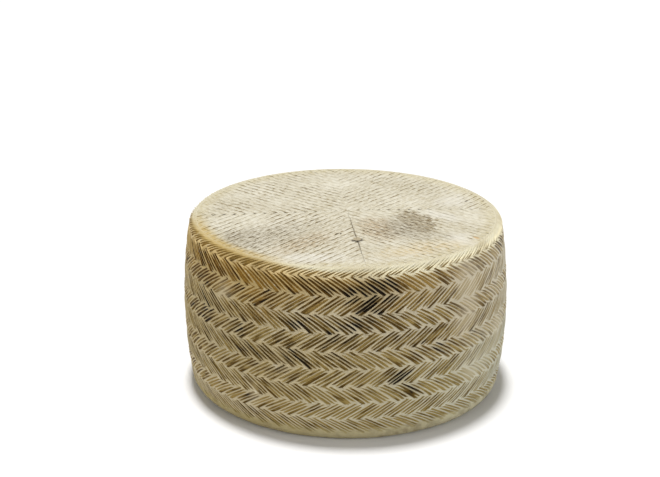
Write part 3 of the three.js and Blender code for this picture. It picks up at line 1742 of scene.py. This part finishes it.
@dataclass(frozen=True)
class RindFinish:
    """Cured cheese rind: dry, waxy and matt, with old mould in its grooves.

    Attributes:
        height: height of the wheel, for the marks on its top face.
        marks: patches and specks on the top face.
        ridge: colour of the plait's ridges on the greasier part of the side.
        ridge_dry: the same on the driest part.
        ridge_gold: the same where oil has run down from the upper edge.
        slit_faint: mould in a stroke where there is little of it.
        slit: mould in most strokes.
        slit_dark: mould in the darkest strokes.
        slit_gold: stained strokes on the upper edge where it is oily.
        slit_tan: the same where it is dry.
        amber: tint that oil gives to the mould.
        rubbed: ridges that rubbing has smoothed.
        cellar: cool tint of the side's lower half where it is dry.
        rim: the cream upper edge.
        rim_low: the greasier lower border of that edge.
        rim_gold: the cream edge where it is oily.
        rim_low_gold: its lower border where it is oily.
        foot: the olive strip at the lower edge.
        foot_dry: the same where it is dry.
        face: the top face.
        face_yellow: the same near its edge.
        face_tan: darker streaks on the top face.
        chalk: dry white bloom.
        groove: mould in a board's groove.
        groove_dark: the same in broken dashes.
        clouds: how many clouds of colour there are to each metre.
        roughness: of the smooth rind and of its flecks.
        gloss: specular level.
        grain: height of the finest grain.
    """

    height: float
    marks: tuple[Mark, ...]
    ridge: Colour = linear(184, 167, 126)
    ridge_dry: Colour = linear(196, 188, 165)
    ridge_gold: Colour = linear(178, 153, 98)
    slit_faint: Colour = linear(149, 127, 74)
    slit: Colour = linear(95, 72, 24)
    slit_dark: Colour = linear(23, 13, 3)
    slit_gold: Colour = linear(142, 114, 56)
    slit_tan: Colour = linear(172, 152, 106)
    amber: Colour = linear(252, 214, 112)
    rubbed: Colour = linear(204, 192, 166)
    cellar: Colour = linear(232, 247, 253)
    rim: Colour = linear(214, 207, 178)
    rim_low: Colour = linear(240, 231, 198)
    rim_gold: Colour = linear(194, 170, 112)
    rim_low_gold: Colour = linear(222, 193, 132)
    foot: Colour = linear(158, 142, 86)
    foot_dry: Colour = linear(192, 184, 150)
    face: Colour = linear(186, 178, 155)
    face_yellow: Colour = linear(196, 184, 142)
    face_tan: Colour = linear(176, 162, 126)
    chalk: Colour = linear(217, 212, 195)
    groove: Colour = linear(134, 118, 84)
    groove_dark: Colour = linear(84, 72, 50)
    clouds: float = 28.0
    roughness: tuple[float, float] = (0.58, 0.78)
    gloss: float = 0.08
    grain: float = 0.4 * MM

    def edge_colour(self, graph: Graph, at: SideState) -> Socket:
        """The upper edge: chalky cream above a greasier border, both golden where oil has run.

        Args:
            graph: the material's graph.
            at: the side's state.

        Returns:
            The colour.
        """
        flowed = graph.times_plus(at.path, 0.03, graph.math("ADD", at.oily, -0.06))
        chalky = graph.step(at.imprint.streak, 0.3, 1.0, 0.0, 0.5)
        edge = graph.mix(chalky, self.rim, self.chalk)
        edge = graph.mix(graph.step(flowed, 0.8, 1.0), edge, self.rim_gold)
        low = graph.mix(graph.step(flowed, 0.6, 1.2), self.rim_low, self.rim_low_gold)
        edge = graph.mix(graph.step(at.path, 2.5, 5.5), edge, low)
        edge = graph.mix(graph.step(at.cloudy, 0.3, 1.0, 0.0, 0.25), edge, self.slit_tan)
        spots = graph.step(flowed, 0.75, 1.05, 0.0, 0.35)
        return graph.mix(graph.times(at.imprint.broken, spots), edge, self.slit_gold)

    def ground_colour(self, graph: Graph, at: SideState) -> Socket:
        """The rind between the strokes.

        It runs from greasy to dry round the wheel, powdery where the dry part is high up, with
        gold below the upper edge. Clouds and stains darken it, and flecks and rubbing bleach it.
        Towards the bottom it is painted paler, as painted bounce light from the pale floor.

        Args:
            graph: the material's graph.
            at: the side's state.

        Returns:
            The colour.
        """
        ground = graph.mix(at.dry, self.ridge, self.ridge_dry)
        powdery = graph.times(at.dry, graph.step(at.path, 52.0, 15.0, 0.0, 0.5))
        ground = graph.mix(powdery, ground, self.chalk)
        ground = graph.mix(at.oily, ground, self.ridge_gold)
        ground = graph.mix(graph.step(at.path, 10.5, 7.5), ground, self.edge_colour(graph, at))
        ground = graph.mix(graph.times(at.cloudy, 0.16), ground, self.slit_faint, Blend.DARKEN)
        ground = graph.mix(graph.times(at.fleck, 0.35), ground, self.chalk)
        ground = graph.mix(graph.times(at.wear, 0.45), ground, self.rubbed)
        darkening = graph.step(at.stain, 0.35, 1.1, 0.0, 0.4)
        ground = graph.mix(darkening, ground, self.slit_faint)
        # Painted light: the lower side is mixed towards chalk, a painted bounce light from the
        # floor.
        return graph.mix(graph.step(at.path, 55.0, 100.0, 0.0, 0.2), ground, self.chalk)

    def mould_tone(self, graph: Graph, at: SideState) -> Socket:
        """How dark the mould is: darker where stained, paler where dry and low on the side.

        Args:
            graph: the material's graph.
            at: the side's state.

        Returns:
            The tone, from about 0 to about 1.
        """
        varied = graph.times_plus(at.imprint.broken, 0.5, -0.25)
        tone = graph.math("ADD", graph.attribute("tone"), varied)
        tone = graph.times_plus(at.stain, 0.7, tone)
        tone = graph.times_plus(at.dry, -0.26, tone)
        return graph.times_plus(graph.step(at.path, 36.0, 80.0), -0.18, tone)

    def mould_colour(self, graph: Graph, at: SideState, tone: Socket) -> Socket:
        """The mould in the strokes, which oil turns amber and which is tan on the upper edge.

        Args:
            graph: the material's graph.
            at: the side's state.
            tone: how dark the mould is.

        Returns:
            The colour.
        """
        mould = graph.mix(graph.step(tone, 0.05, 0.62), self.slit_faint, self.slit)
        mould = graph.mix(graph.step(tone, 0.6, 1.05), mould, self.slit_dark)
        mould = graph.mix(graph.times(at.oily, 0.8), mould, self.amber, Blend.DARKEN)
        tan = graph.mix(at.dry, self.slit_gold, self.slit_tan)
        return graph.mix(graph.step(at.path, 8.8, 5.2, 0.0, 0.9), mould, tan)

    def foot_colour(self, graph: Graph, at: SideState) -> Socket:
        """The olive strip at the lower edge, with dirt on it.

        Args:
            graph: the material's graph.
            at: the side's state.

        Returns:
            The colour.
        """
        foot = graph.mix(at.dry, self.foot, self.foot_dry)
        dirt = graph.times(graph.times(at.imprint.broken, at.cloudy), 0.65)
        return graph.mix(dirt, foot, self.slit)

    def side_colour(self, graph: Graph, mottle: bpy.types.Node) -> Socket:
        """The side's colour.

        Mould smears a blade's bundle of strokes and fills the strokes, less where the rind is
        dry or worn. The dry part's lower half has a cool tint.

        Args:
            graph: the material's graph.
            mottle: the shared mottle.

        Returns:
            The colour.
        """
        at = SideState.read(graph, mottle)
        tone = self.mould_tone(graph, at)
        mould = self.mould_colour(graph, at, tone)
        smear = graph.times(graph.attribute("smear"), graph.step(tone, 0.1, 1.0, 0.05, 0.27))
        smear = graph.times(graph.step(at.path, 5.5, 11.0), smear)
        ground = graph.mix(smear, self.ground_colour(graph, at), mould)
        cut = graph.times_plus(at.imprint.streak, 0.3, graph.attribute("cut"))
        cover = graph.times_plus(at.wear, -0.55, 1.0)
        cover = graph.times(cover, graph.step(at.dry, 0.7, 1.1, 1.0, 0.85))
        cover = graph.times(cover, graph.step(cut, 0.05, 0.55))
        colour = graph.mix(cover, ground, mould)
        cool = graph.times(at.dry, graph.step(at.path, 45.0, 75.0, 0.0, 0.45))
        colour = graph.mix(cool, colour, self.cellar, Blend.DARKEN)
        foot = self.foot_colour(graph, at)
        return graph.mix(graph.step(at.path, 99.0, 102.0, 0.0, 0.7), colour, foot)

    def face_ground(self, graph: Graph, mottle: bpy.types.Node, imprint: Imprint) -> Socket:
        """The flat faces between the grooves: cloudy, streaked, and yellower near the edge.

        Args:
            graph: the material's graph.
            mottle: the shared mottle.
            imprint: the grooves' coordinates and streaks.

        Returns:
            The colour.
        """
        near_edge = graph.step(graph.attribute("path"), -12.0, -1.0, 0.0, 0.8)
        ground = graph.mix(mottle.outputs["Cloud"], self.face, self.chalk)
        ground = graph.mix(near_edge, ground, self.face_yellow)
        ground = graph.mix(graph.times(imprint.broken, 0.45), ground, self.face_tan)
        return graph.mix(graph.times(imprint.streak, 0.75), ground, self.chalk)

    @staticmethod
    def grooves(graph: Graph, imprint: Imprint) -> Socket:
        """Where the grooves are: two cosines, one of half the pitch, stirred and frayed by noise.

        Args:
            graph: the material's graph.
            imprint: the grooves' coordinates and streaks.

        Returns:
            Values from 0 between the grooves to 1 in them.
        """
        across, along = imprint.across, imprint.along
        stray = graph.noise(graph.vector(0.0, along, across), 0.5, 4.0, 0.7)
        line = graph.times_plus(stray, 0.4, graph.math("ADD", across, -0.2))
        wave = graph.math("COSINE", graph.times(line, TURN))
        twin = graph.math("COSINE", graph.times_plus(line, 2.0 * TURN, 0.3))
        pattern = graph.times_plus(wave, 0.35, graph.times(twin, 0.65))
        pattern = graph.times_plus(imprint.streak, -0.9, graph.math("ADD", pattern, 0.45))
        return graph.step(pattern, 0.0, 0.9)

    def face_colour(self, graph: Graph, mottle: bpy.types.Node, place: Socket) -> Socket:
        """The flat faces' colour.

        Patches of bloom and dirt lie on the ground, one of them partly a painted shadow; mould in
        broken dashes fills the grooves, most under the dirt and shadow patches, and the scars cover
        everything.

        Args:
            graph: the material's graph.
            mottle: the shared mottle.
            place: object coordinates.

        Returns:
            The colour.
        """
        path = graph.attribute("path")
        imprint = Imprint.read(graph, ply=7.0, stretch=1.1)
        ground = self.face_ground(graph, mottle, imprint)
        ragged = graph.step(imprint.streak, 0.0, 1.0, 1.25, 0.25)
        darkening = None
        for mark in self.marks:
            if mark.kind is Kind.SCAR:
                continue
            share = graph.times(mark.mask(graph, place, self.height), ragged)
            ground = graph.mix(share, ground, mark.colour)
            if mark.kind is Kind.GRIME_AND_SHADE:
                darkening = share if darkening is None else graph.math("MAXIMUM", darkening, share)
        dashed = graph.vector(imprint.across, graph.times(imprint.along, 0.55), 3.0)
        dashes = graph.noise(dashed, 1.9)
        fresh = graph.step(graph.noise(place, 42.0, 2.0), 0.36, 0.62, 0.5, 1.25)
        strength = graph.times(graph.step(dashes, 0.34, 0.62, 0.2, 0.95), fresh)
        # The dirt patches and the painted shadow patch also darken the grooves under them.
        strength = graph.times_plus(darkening, 0.8, strength)
        groove = graph.times(self.grooves(graph, imprint), strength)
        groove = graph.times(groove, graph.step(path, 1.5, -3.0, 0.7, 1.0))
        deep = graph.times(graph.step(dashes, 0.5, 0.72), imprint.broken)
        mould = graph.mix(deep, self.groove, self.groove_dark)
        mould = graph.mix(darkening, mould, self.groove_dark)
        oily = graph.step(graph.attribute("oily"), 0.84, 1.0)
        oily = graph.times(graph.step(path, -9.0, -1.0), oily)
        patchy = graph.times(oily, graph.step(dashes, 0.35, 0.65, 0.5, 1.0))
        ground = graph.mix(patchy, ground, self.rim_gold)
        mould = graph.mix(oily, mould, self.slit_gold)
        colour = graph.mix(groove, ground, mould)
        for mark in self.marks:
            if mark.kind is Kind.SCAR:
                colour = graph.mix(mark.mask(graph, place, self.height), colour, mark.colour)
        return colour

    def material(self) -> bpy.types.Material:
        """Builds the rind's material.

        Returns:
            The material, with colour, roughness and bump that change over the surface.
        """
        made = bpy.data.materials.new("cured_rind")
        made.use_nodes = True
        tree = made.node_tree
        tree.nodes.clear()
        graph = Graph(tree)
        output = graph.node("ShaderNodeOutputMaterial")
        shader = graph.node("ShaderNodeBsdfPrincipled")
        tree.links.new(shader.outputs[0], output.inputs[0])
        place = graph.node("ShaderNodeTexCoord").outputs["Object"]
        path = graph.attribute("path")
        mottle = graph.group(Mottle.tree(), Vector=place, Scale=self.clouds)
        side = self.side_colour(graph, mottle)
        face = self.face_colour(graph, mottle, place)
        colour = graph.mix(graph.step(path, -0.4, 1.6), face, side)
        colour = graph.mix(graph.step(path, 108.0, 112.0), colour, face)
        graph.feed(shader.inputs["Base Color"], colour)
        rough = graph.step(mottle.outputs["Fleck"], 0.0, 1.0, *self.roughness)
        graph.feed(shader.inputs["Roughness"], rough)
        shader.inputs["Specular IOR Level"].default_value = self.gloss
        grain = mottle.outputs["Grain"]
        bump = graph.node("ShaderNodeBump", Strength=0.4, Distance=self.grain, Height=grain)
        graph.feed(shader.inputs["Normal"], bump.outputs[0])
        return made


@dataclass(frozen=True)
class TableFinish:
    """A plain pale tabletop.

    Attributes:
        colour: its colour.
        roughness: its roughness.
        gloss: its specular level.
    """

    colour: Colour = linear(240, 240, 240)
    roughness: float = 0.7
    gloss: float = 0.1

    def material(self) -> bpy.types.Material:
        """Builds the tabletop's material.

        Returns:
            The material.
        """
        made = bpy.data.materials.new("pale_table")
        made.use_nodes = True
        shader = made.node_tree.nodes["Principled BSDF"]
        shader.inputs["Base Color"].default_value = self.colour
        shader.inputs["Roughness"].default_value = self.roughness
        shader.inputs["Specular IOR Level"].default_value = self.gloss
        return made


# --- The studio ---


@dataclass(frozen=True)
class Sun:
    """A soft, even light from one direction.

    Attributes:
        name: its name.
        bearing: where it stands, as an angle from the front towards the viewer's right.
        rise: how high it stands above the floor, in degrees.
        spread: how wide it looks, in degrees.
        power: its strength on a surface that faces it.
    """

    name: str
    bearing: float
    rise: float
    spread: float
    power: float

    def build(self) -> bpy.types.Object:
        """Adds the light to the scene.

        Returns:
            The light's object.
        """
        data = bpy.data.lights.new(self.name, "SUN")
        data.energy = self.power
        data.angle = math.radians(self.spread)
        sun = bpy.data.objects.new(self.name, data)
        turn, rise = math.radians(self.bearing), math.radians(self.rise)
        flat = math.cos(rise)
        stand = Vector((flat * math.sin(turn), -flat * math.cos(turn), math.sin(rise)))
        facing = (-stand).to_track_quat("-Z", "Y").to_matrix().to_4x4()
        sun.matrix_world = Matrix.Translation(stand * 3.0) @ facing
        bpy.context.collection.objects.link(sun)
        return sun


@dataclass(frozen=True)
class Studio:
    """A pale floor, soft lights and the camera.

    Attributes:
        height: height of the wheel's top face, which the camera is placed by.
        suns: the soft lights.
        elevation: how far the camera stands above the top face's plane, in degrees.
        distance: from the centre of the top face to the camera.
        aim_left: how far left of that centre the camera aims.
        aim_below: how far below that centre the camera aims.
        roll: the camera's turn about its own axis, in degrees.
        lens: focal length, in millimetres on a sensor 36 mm wide.
        floor_width: side of the square floor.
        sky: brightness of the even white surroundings.
    """

    height: float
    suns: tuple[Sun, ...] = (
        Sun("overhead", -160.0, 83.0, 9.5, 3.0),
        Sun("right_key", 56.0, 14.0, 40.0, 1.06),
        Sun("left_fill", -60.0, 14.0, 50.0, 0.88),
    )
    elevation: float = 18.85
    distance: float = 859.6 * MM
    aim_left: float = 9.5 * MM
    aim_below: float = 15.7 * MM
    roll: float = 0.27
    lens: float = 76.36
    floor_width: float = 14.0
    sky: float = 0.2

    def camera(self) -> bpy.types.Object:
        """Places the camera and makes it the scene's own.

        Returns:
            The camera's object.
        """
        data = bpy.data.cameras.new("viewer")
        data.lens = self.lens
        data.sensor_width = 36.0
        data.clip_start = 0.05
        data.clip_end = 60.0
        camera = bpy.data.objects.new("viewer", data)
        rise = math.radians(self.elevation)
        top = Vector((0.0, 0.0, self.height))
        back = Vector((0.0, -math.cos(rise), math.sin(rise)))
        up = Vector((0.0, math.sin(rise), math.cos(rise)))
        place = top + back * self.distance
        aim = top - Vector((self.aim_left, 0.0, 0.0)) - up * self.aim_below
        turn = (aim - place).to_track_quat("-Z", "Y").to_matrix().to_4x4()
        roll = Matrix.Rotation(math.radians(self.roll), 4, "Z")
        camera.matrix_world = Matrix.Translation(place) @ turn @ roll
        bpy.context.collection.objects.link(camera)
        bpy.context.scene.camera = camera
        return camera

    def floor(self) -> bpy.types.Object:
        """Lays the floor, which isn't part of the object.

        Returns:
            The floor's object.
        """
        half = self.floor_width / 2.0
        corners = [(-half, -half, 0), (half, -half, 0), (half, half, 0), (-half, half, 0)]
        mesh = bpy.data.meshes.new("studio_floor")
        mesh.from_pydata(corners, [], [(0, 1, 2, 3)])
        mesh.materials.append(TableFinish().material())
        floor = bpy.data.objects.new("studio_floor", mesh)
        bpy.context.collection.objects.link(floor)
        return floor

    def lights(self) -> None:
        """Sets up the soft lights and the surroundings."""
        for sun in self.suns:
            sun.build()
        world = bpy.data.worlds.new("studio_sky")
        world.use_nodes = True
        sky = world.node_tree.nodes["Background"]
        sky.inputs["Color"].default_value = (1.0, 1.0, 1.0, 1.0)
        sky.inputs["Strength"].default_value = self.sky
        bpy.context.scene.world = world
        bpy.context.scene.view_settings.view_transform = "Standard"

    def build(self) -> None:
        """Sets up the camera, the floor and the lights."""
        self.camera()
        self.floor()
        self.lights()


# --- This wheel ---

# Each patch's bearing, drop, width, height and strength.
MOULD_BLOOMS = (
    Bloom(7.0, 22 * MM, 15 * MM, 11 * MM, 1.12),
    Bloom(11.0, 13 * MM, 12 * MM, 5 * MM, 0.9),
    Bloom(5.0, 37 * MM, 8 * MM, 5 * MM, 0.5),
    Bloom(-16.0, 35 * MM, 5 * MM, 4 * MM, 0.5),
    Bloom(-21.0, 58 * MM, 9 * MM, 6 * MM, 0.8),
    Bloom(-26.0, 67 * MM, 7 * MM, 4 * MM, 0.55),
    Bloom(-34.0, 56 * MM, 8 * MM, 5 * MM, 0.75),
    Bloom(-56.0, 25 * MM, 10 * MM, 6 * MM, 0.6),
    Bloom(-18.0, 48 * MM, 6 * MM, 4 * MM, 0.65),
    Bloom(1.0, 47 * MM, 5 * MM, 4 * MM, 0.4),
    Bloom(20.0, 45 * MM, 5 * MM, 4 * MM, 0.4),
    Bloom(33.0, 55 * MM, 17 * MM, 5 * MM, 0.75),
    Bloom(18.0, 68 * MM, 6 * MM, 4 * MM, 0.8),
    Bloom(23.0, 77 * MM, 10 * MM, 8 * MM, 0.9),
    Bloom(31.0, 87 * MM, 5 * MM, 4 * MM, 1.0),
    Bloom(50.0, 58 * MM, 16 * MM, 16 * MM, 0.3),
)

RUBS = (
    Bloom(47.0, 22 * MM, 15 * MM, 12 * MM, 0.75),
    Bloom(66.0, 27 * MM, 14 * MM, 15 * MM, 0.65),
)

LILAC = linear(156, 147, 128)
# Grey-brown: partly a painted shadow of the half wheel that rested on the top face, partly damp
# rind.
SHADOW_AND_DAMP = linear(148, 133, 104)
SCURF = linear(172, 160, 134)
DRAB = linear(88, 76, 54)
PINKISH = linear(178, 158, 126)
STRAW = linear(208, 184, 132)
WHITE = linear(228, 225, 216)
SPECK = linear(48, 38, 26)
ORANGE = linear(196, 150, 88)

# Each mark's kind, middle, half length and width, direction, colour, strength, edge and rag.
TOP_MARKS = (
    Mark(Kind.GRIME_AND_SHADE, -50 * MM, -46 * MM, 34 * MM, 15 * MM, 45.0, LILAC, 0.6, 0.8),
    Mark(Kind.GRIME_AND_SHADE, -64 * MM, -42 * MM, 14 * MM, 7 * MM, 50.0, LILAC, 0.6, 0.8),
    Mark(Kind.GRIME_AND_SHADE, -24 * MM, -53 * MM, 22 * MM, 9 * MM, 50.0, PINKISH, 0.6, 0.7),
    Mark(Kind.GRIME_AND_SHADE, 20 * MM, -27 * MM, 18 * MM, 10 * MM, 100.0, PINKISH, 0.9, 0.7),
    # Partly a painted shadow cast by the half wheel resting on the top face, partly damp rind.
    Mark(Kind.GRIME_AND_SHADE, 43 * MM, -14 * MM, 21 * MM, 10 * MM, 108.0, SHADOW_AND_DAMP, 0.9, 0.22, 22 * MM),
    Mark(Kind.GRIME_AND_SHADE, 35 * MM, -36 * MM, 17 * MM, 8 * MM, -25.0, LILAC, 0.55, 0.7),
    Mark(Kind.GRIME_AND_SHADE, 58 * MM, -38 * MM, 16 * MM, 5 * MM, -40.0, LILAC, 0.3, 0.7),
    Mark(Kind.GRIME_AND_SHADE, 32 * MM, -23 * MM, 14 * MM, 9 * MM, 115.0, LILAC, 0.75, 0.8),
    Mark(Kind.BLOOM, 45 * MM, -60 * MM, 24 * MM, 8 * MM, 24.0, STRAW, 0.5, 0.8),
    Mark(Kind.BLOOM, 59 * MM, -3 * MM, 13 * MM, 6 * MM, -40.0, WHITE, 0.6, 0.7),
    Mark(Kind.BLOOM, 69 * MM, -46 * MM, 13 * MM, 5 * MM, -60.0, WHITE, 0.5, 0.7),
    Mark(Kind.BLOOM, 68 * MM, 27 * MM, 12 * MM, 9 * MM, 50.0, WHITE, 0.5, 0.7),
    Mark(Kind.BLOOM, -22 * MM, -79 * MM, 18 * MM, 8 * MM, 10.0, WHITE, 0.6, 0.7),
    Mark(Kind.SCAR, 6.1 * MM, -40.5 * MM, 34 * MM, 0.34 * MM, -83.5, DRAB, 0.8, 0.8, 1.8 * MM),
    Mark(Kind.SCAR, 6.9 * MM, -46.8 * MM, 3.7 * MM, 3.4 * MM, 6.5, SPECK, 0.85, 0.2, 3 * MM),
    Mark(Kind.SCAR, 6.6 * MM, -44.4 * MM, 2.4 * MM, 2.3 * MM, 6.5, SCURF, 1.0, 0.2, 1 * MM),
    Mark(Kind.SCAR, -2.9 * MM, -36 * MM, 0.9 * MM, 0.6 * MM, 90.0, SPECK, 1.0, 0.3, 0.3 * MM),
    Mark(Kind.SCAR, -52 * MM, -79 * MM, 1.6 * MM, 0.9 * MM, 0.0, SPECK, 0.8, 0.3, 0.5 * MM),
    Mark(Kind.SCAR, 76 * MM, 26.5 * MM, 1.3 * MM, 0.8 * MM, 60.0, SPECK, 1.0, 0.3, 0.3 * MM),
    Mark(Kind.SCAR, 76.5 * MM, -42 * MM, 2.6 * MM, 1.1 * MM, -60.0, ORANGE, 0.6, 0.5, 1 * MM),
)


def main() -> None:
    """Builds the studio and the wheel."""
    logging.basicConfig(level=logging.INFO, format="%(name)s: %(message)s")
    section = HalfSection.from_frame(NODE)
    Studio(height=section.height).build()
    wheel = CheeseWheel(
        section=section,
        belt=PlaitedBelt(radius=section.radius),
        top_board=CarvedBoard(
            centre=(0.7 * MM, 7 * MM), seams=(-83.5, 3.0, 96.0, 188.0), split=Split()
        ),
        foot_board=CarvedBoard(
            centre=(-5 * MM, -4 * MM),
            seams=(20.0, 111.0, 201.0, 290.0),
            samples=3,
            rings=8,
            seed=70,
        ),
        ageing=Ageing(blooms=MOULD_BLOOMS, rubs=RUBS),
    )
    rind = wheel.build()
    rind.data.materials.append(RindFinish(section.height, TOP_MARKS).material())
    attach(rind, "root")
    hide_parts(NODE)
    rind.data.calc_loop_triangles()
    log.info("%s: %d triangles", rind.name, len(rind.data.loop_triangles))


if __name__ == "__main__":
    main()
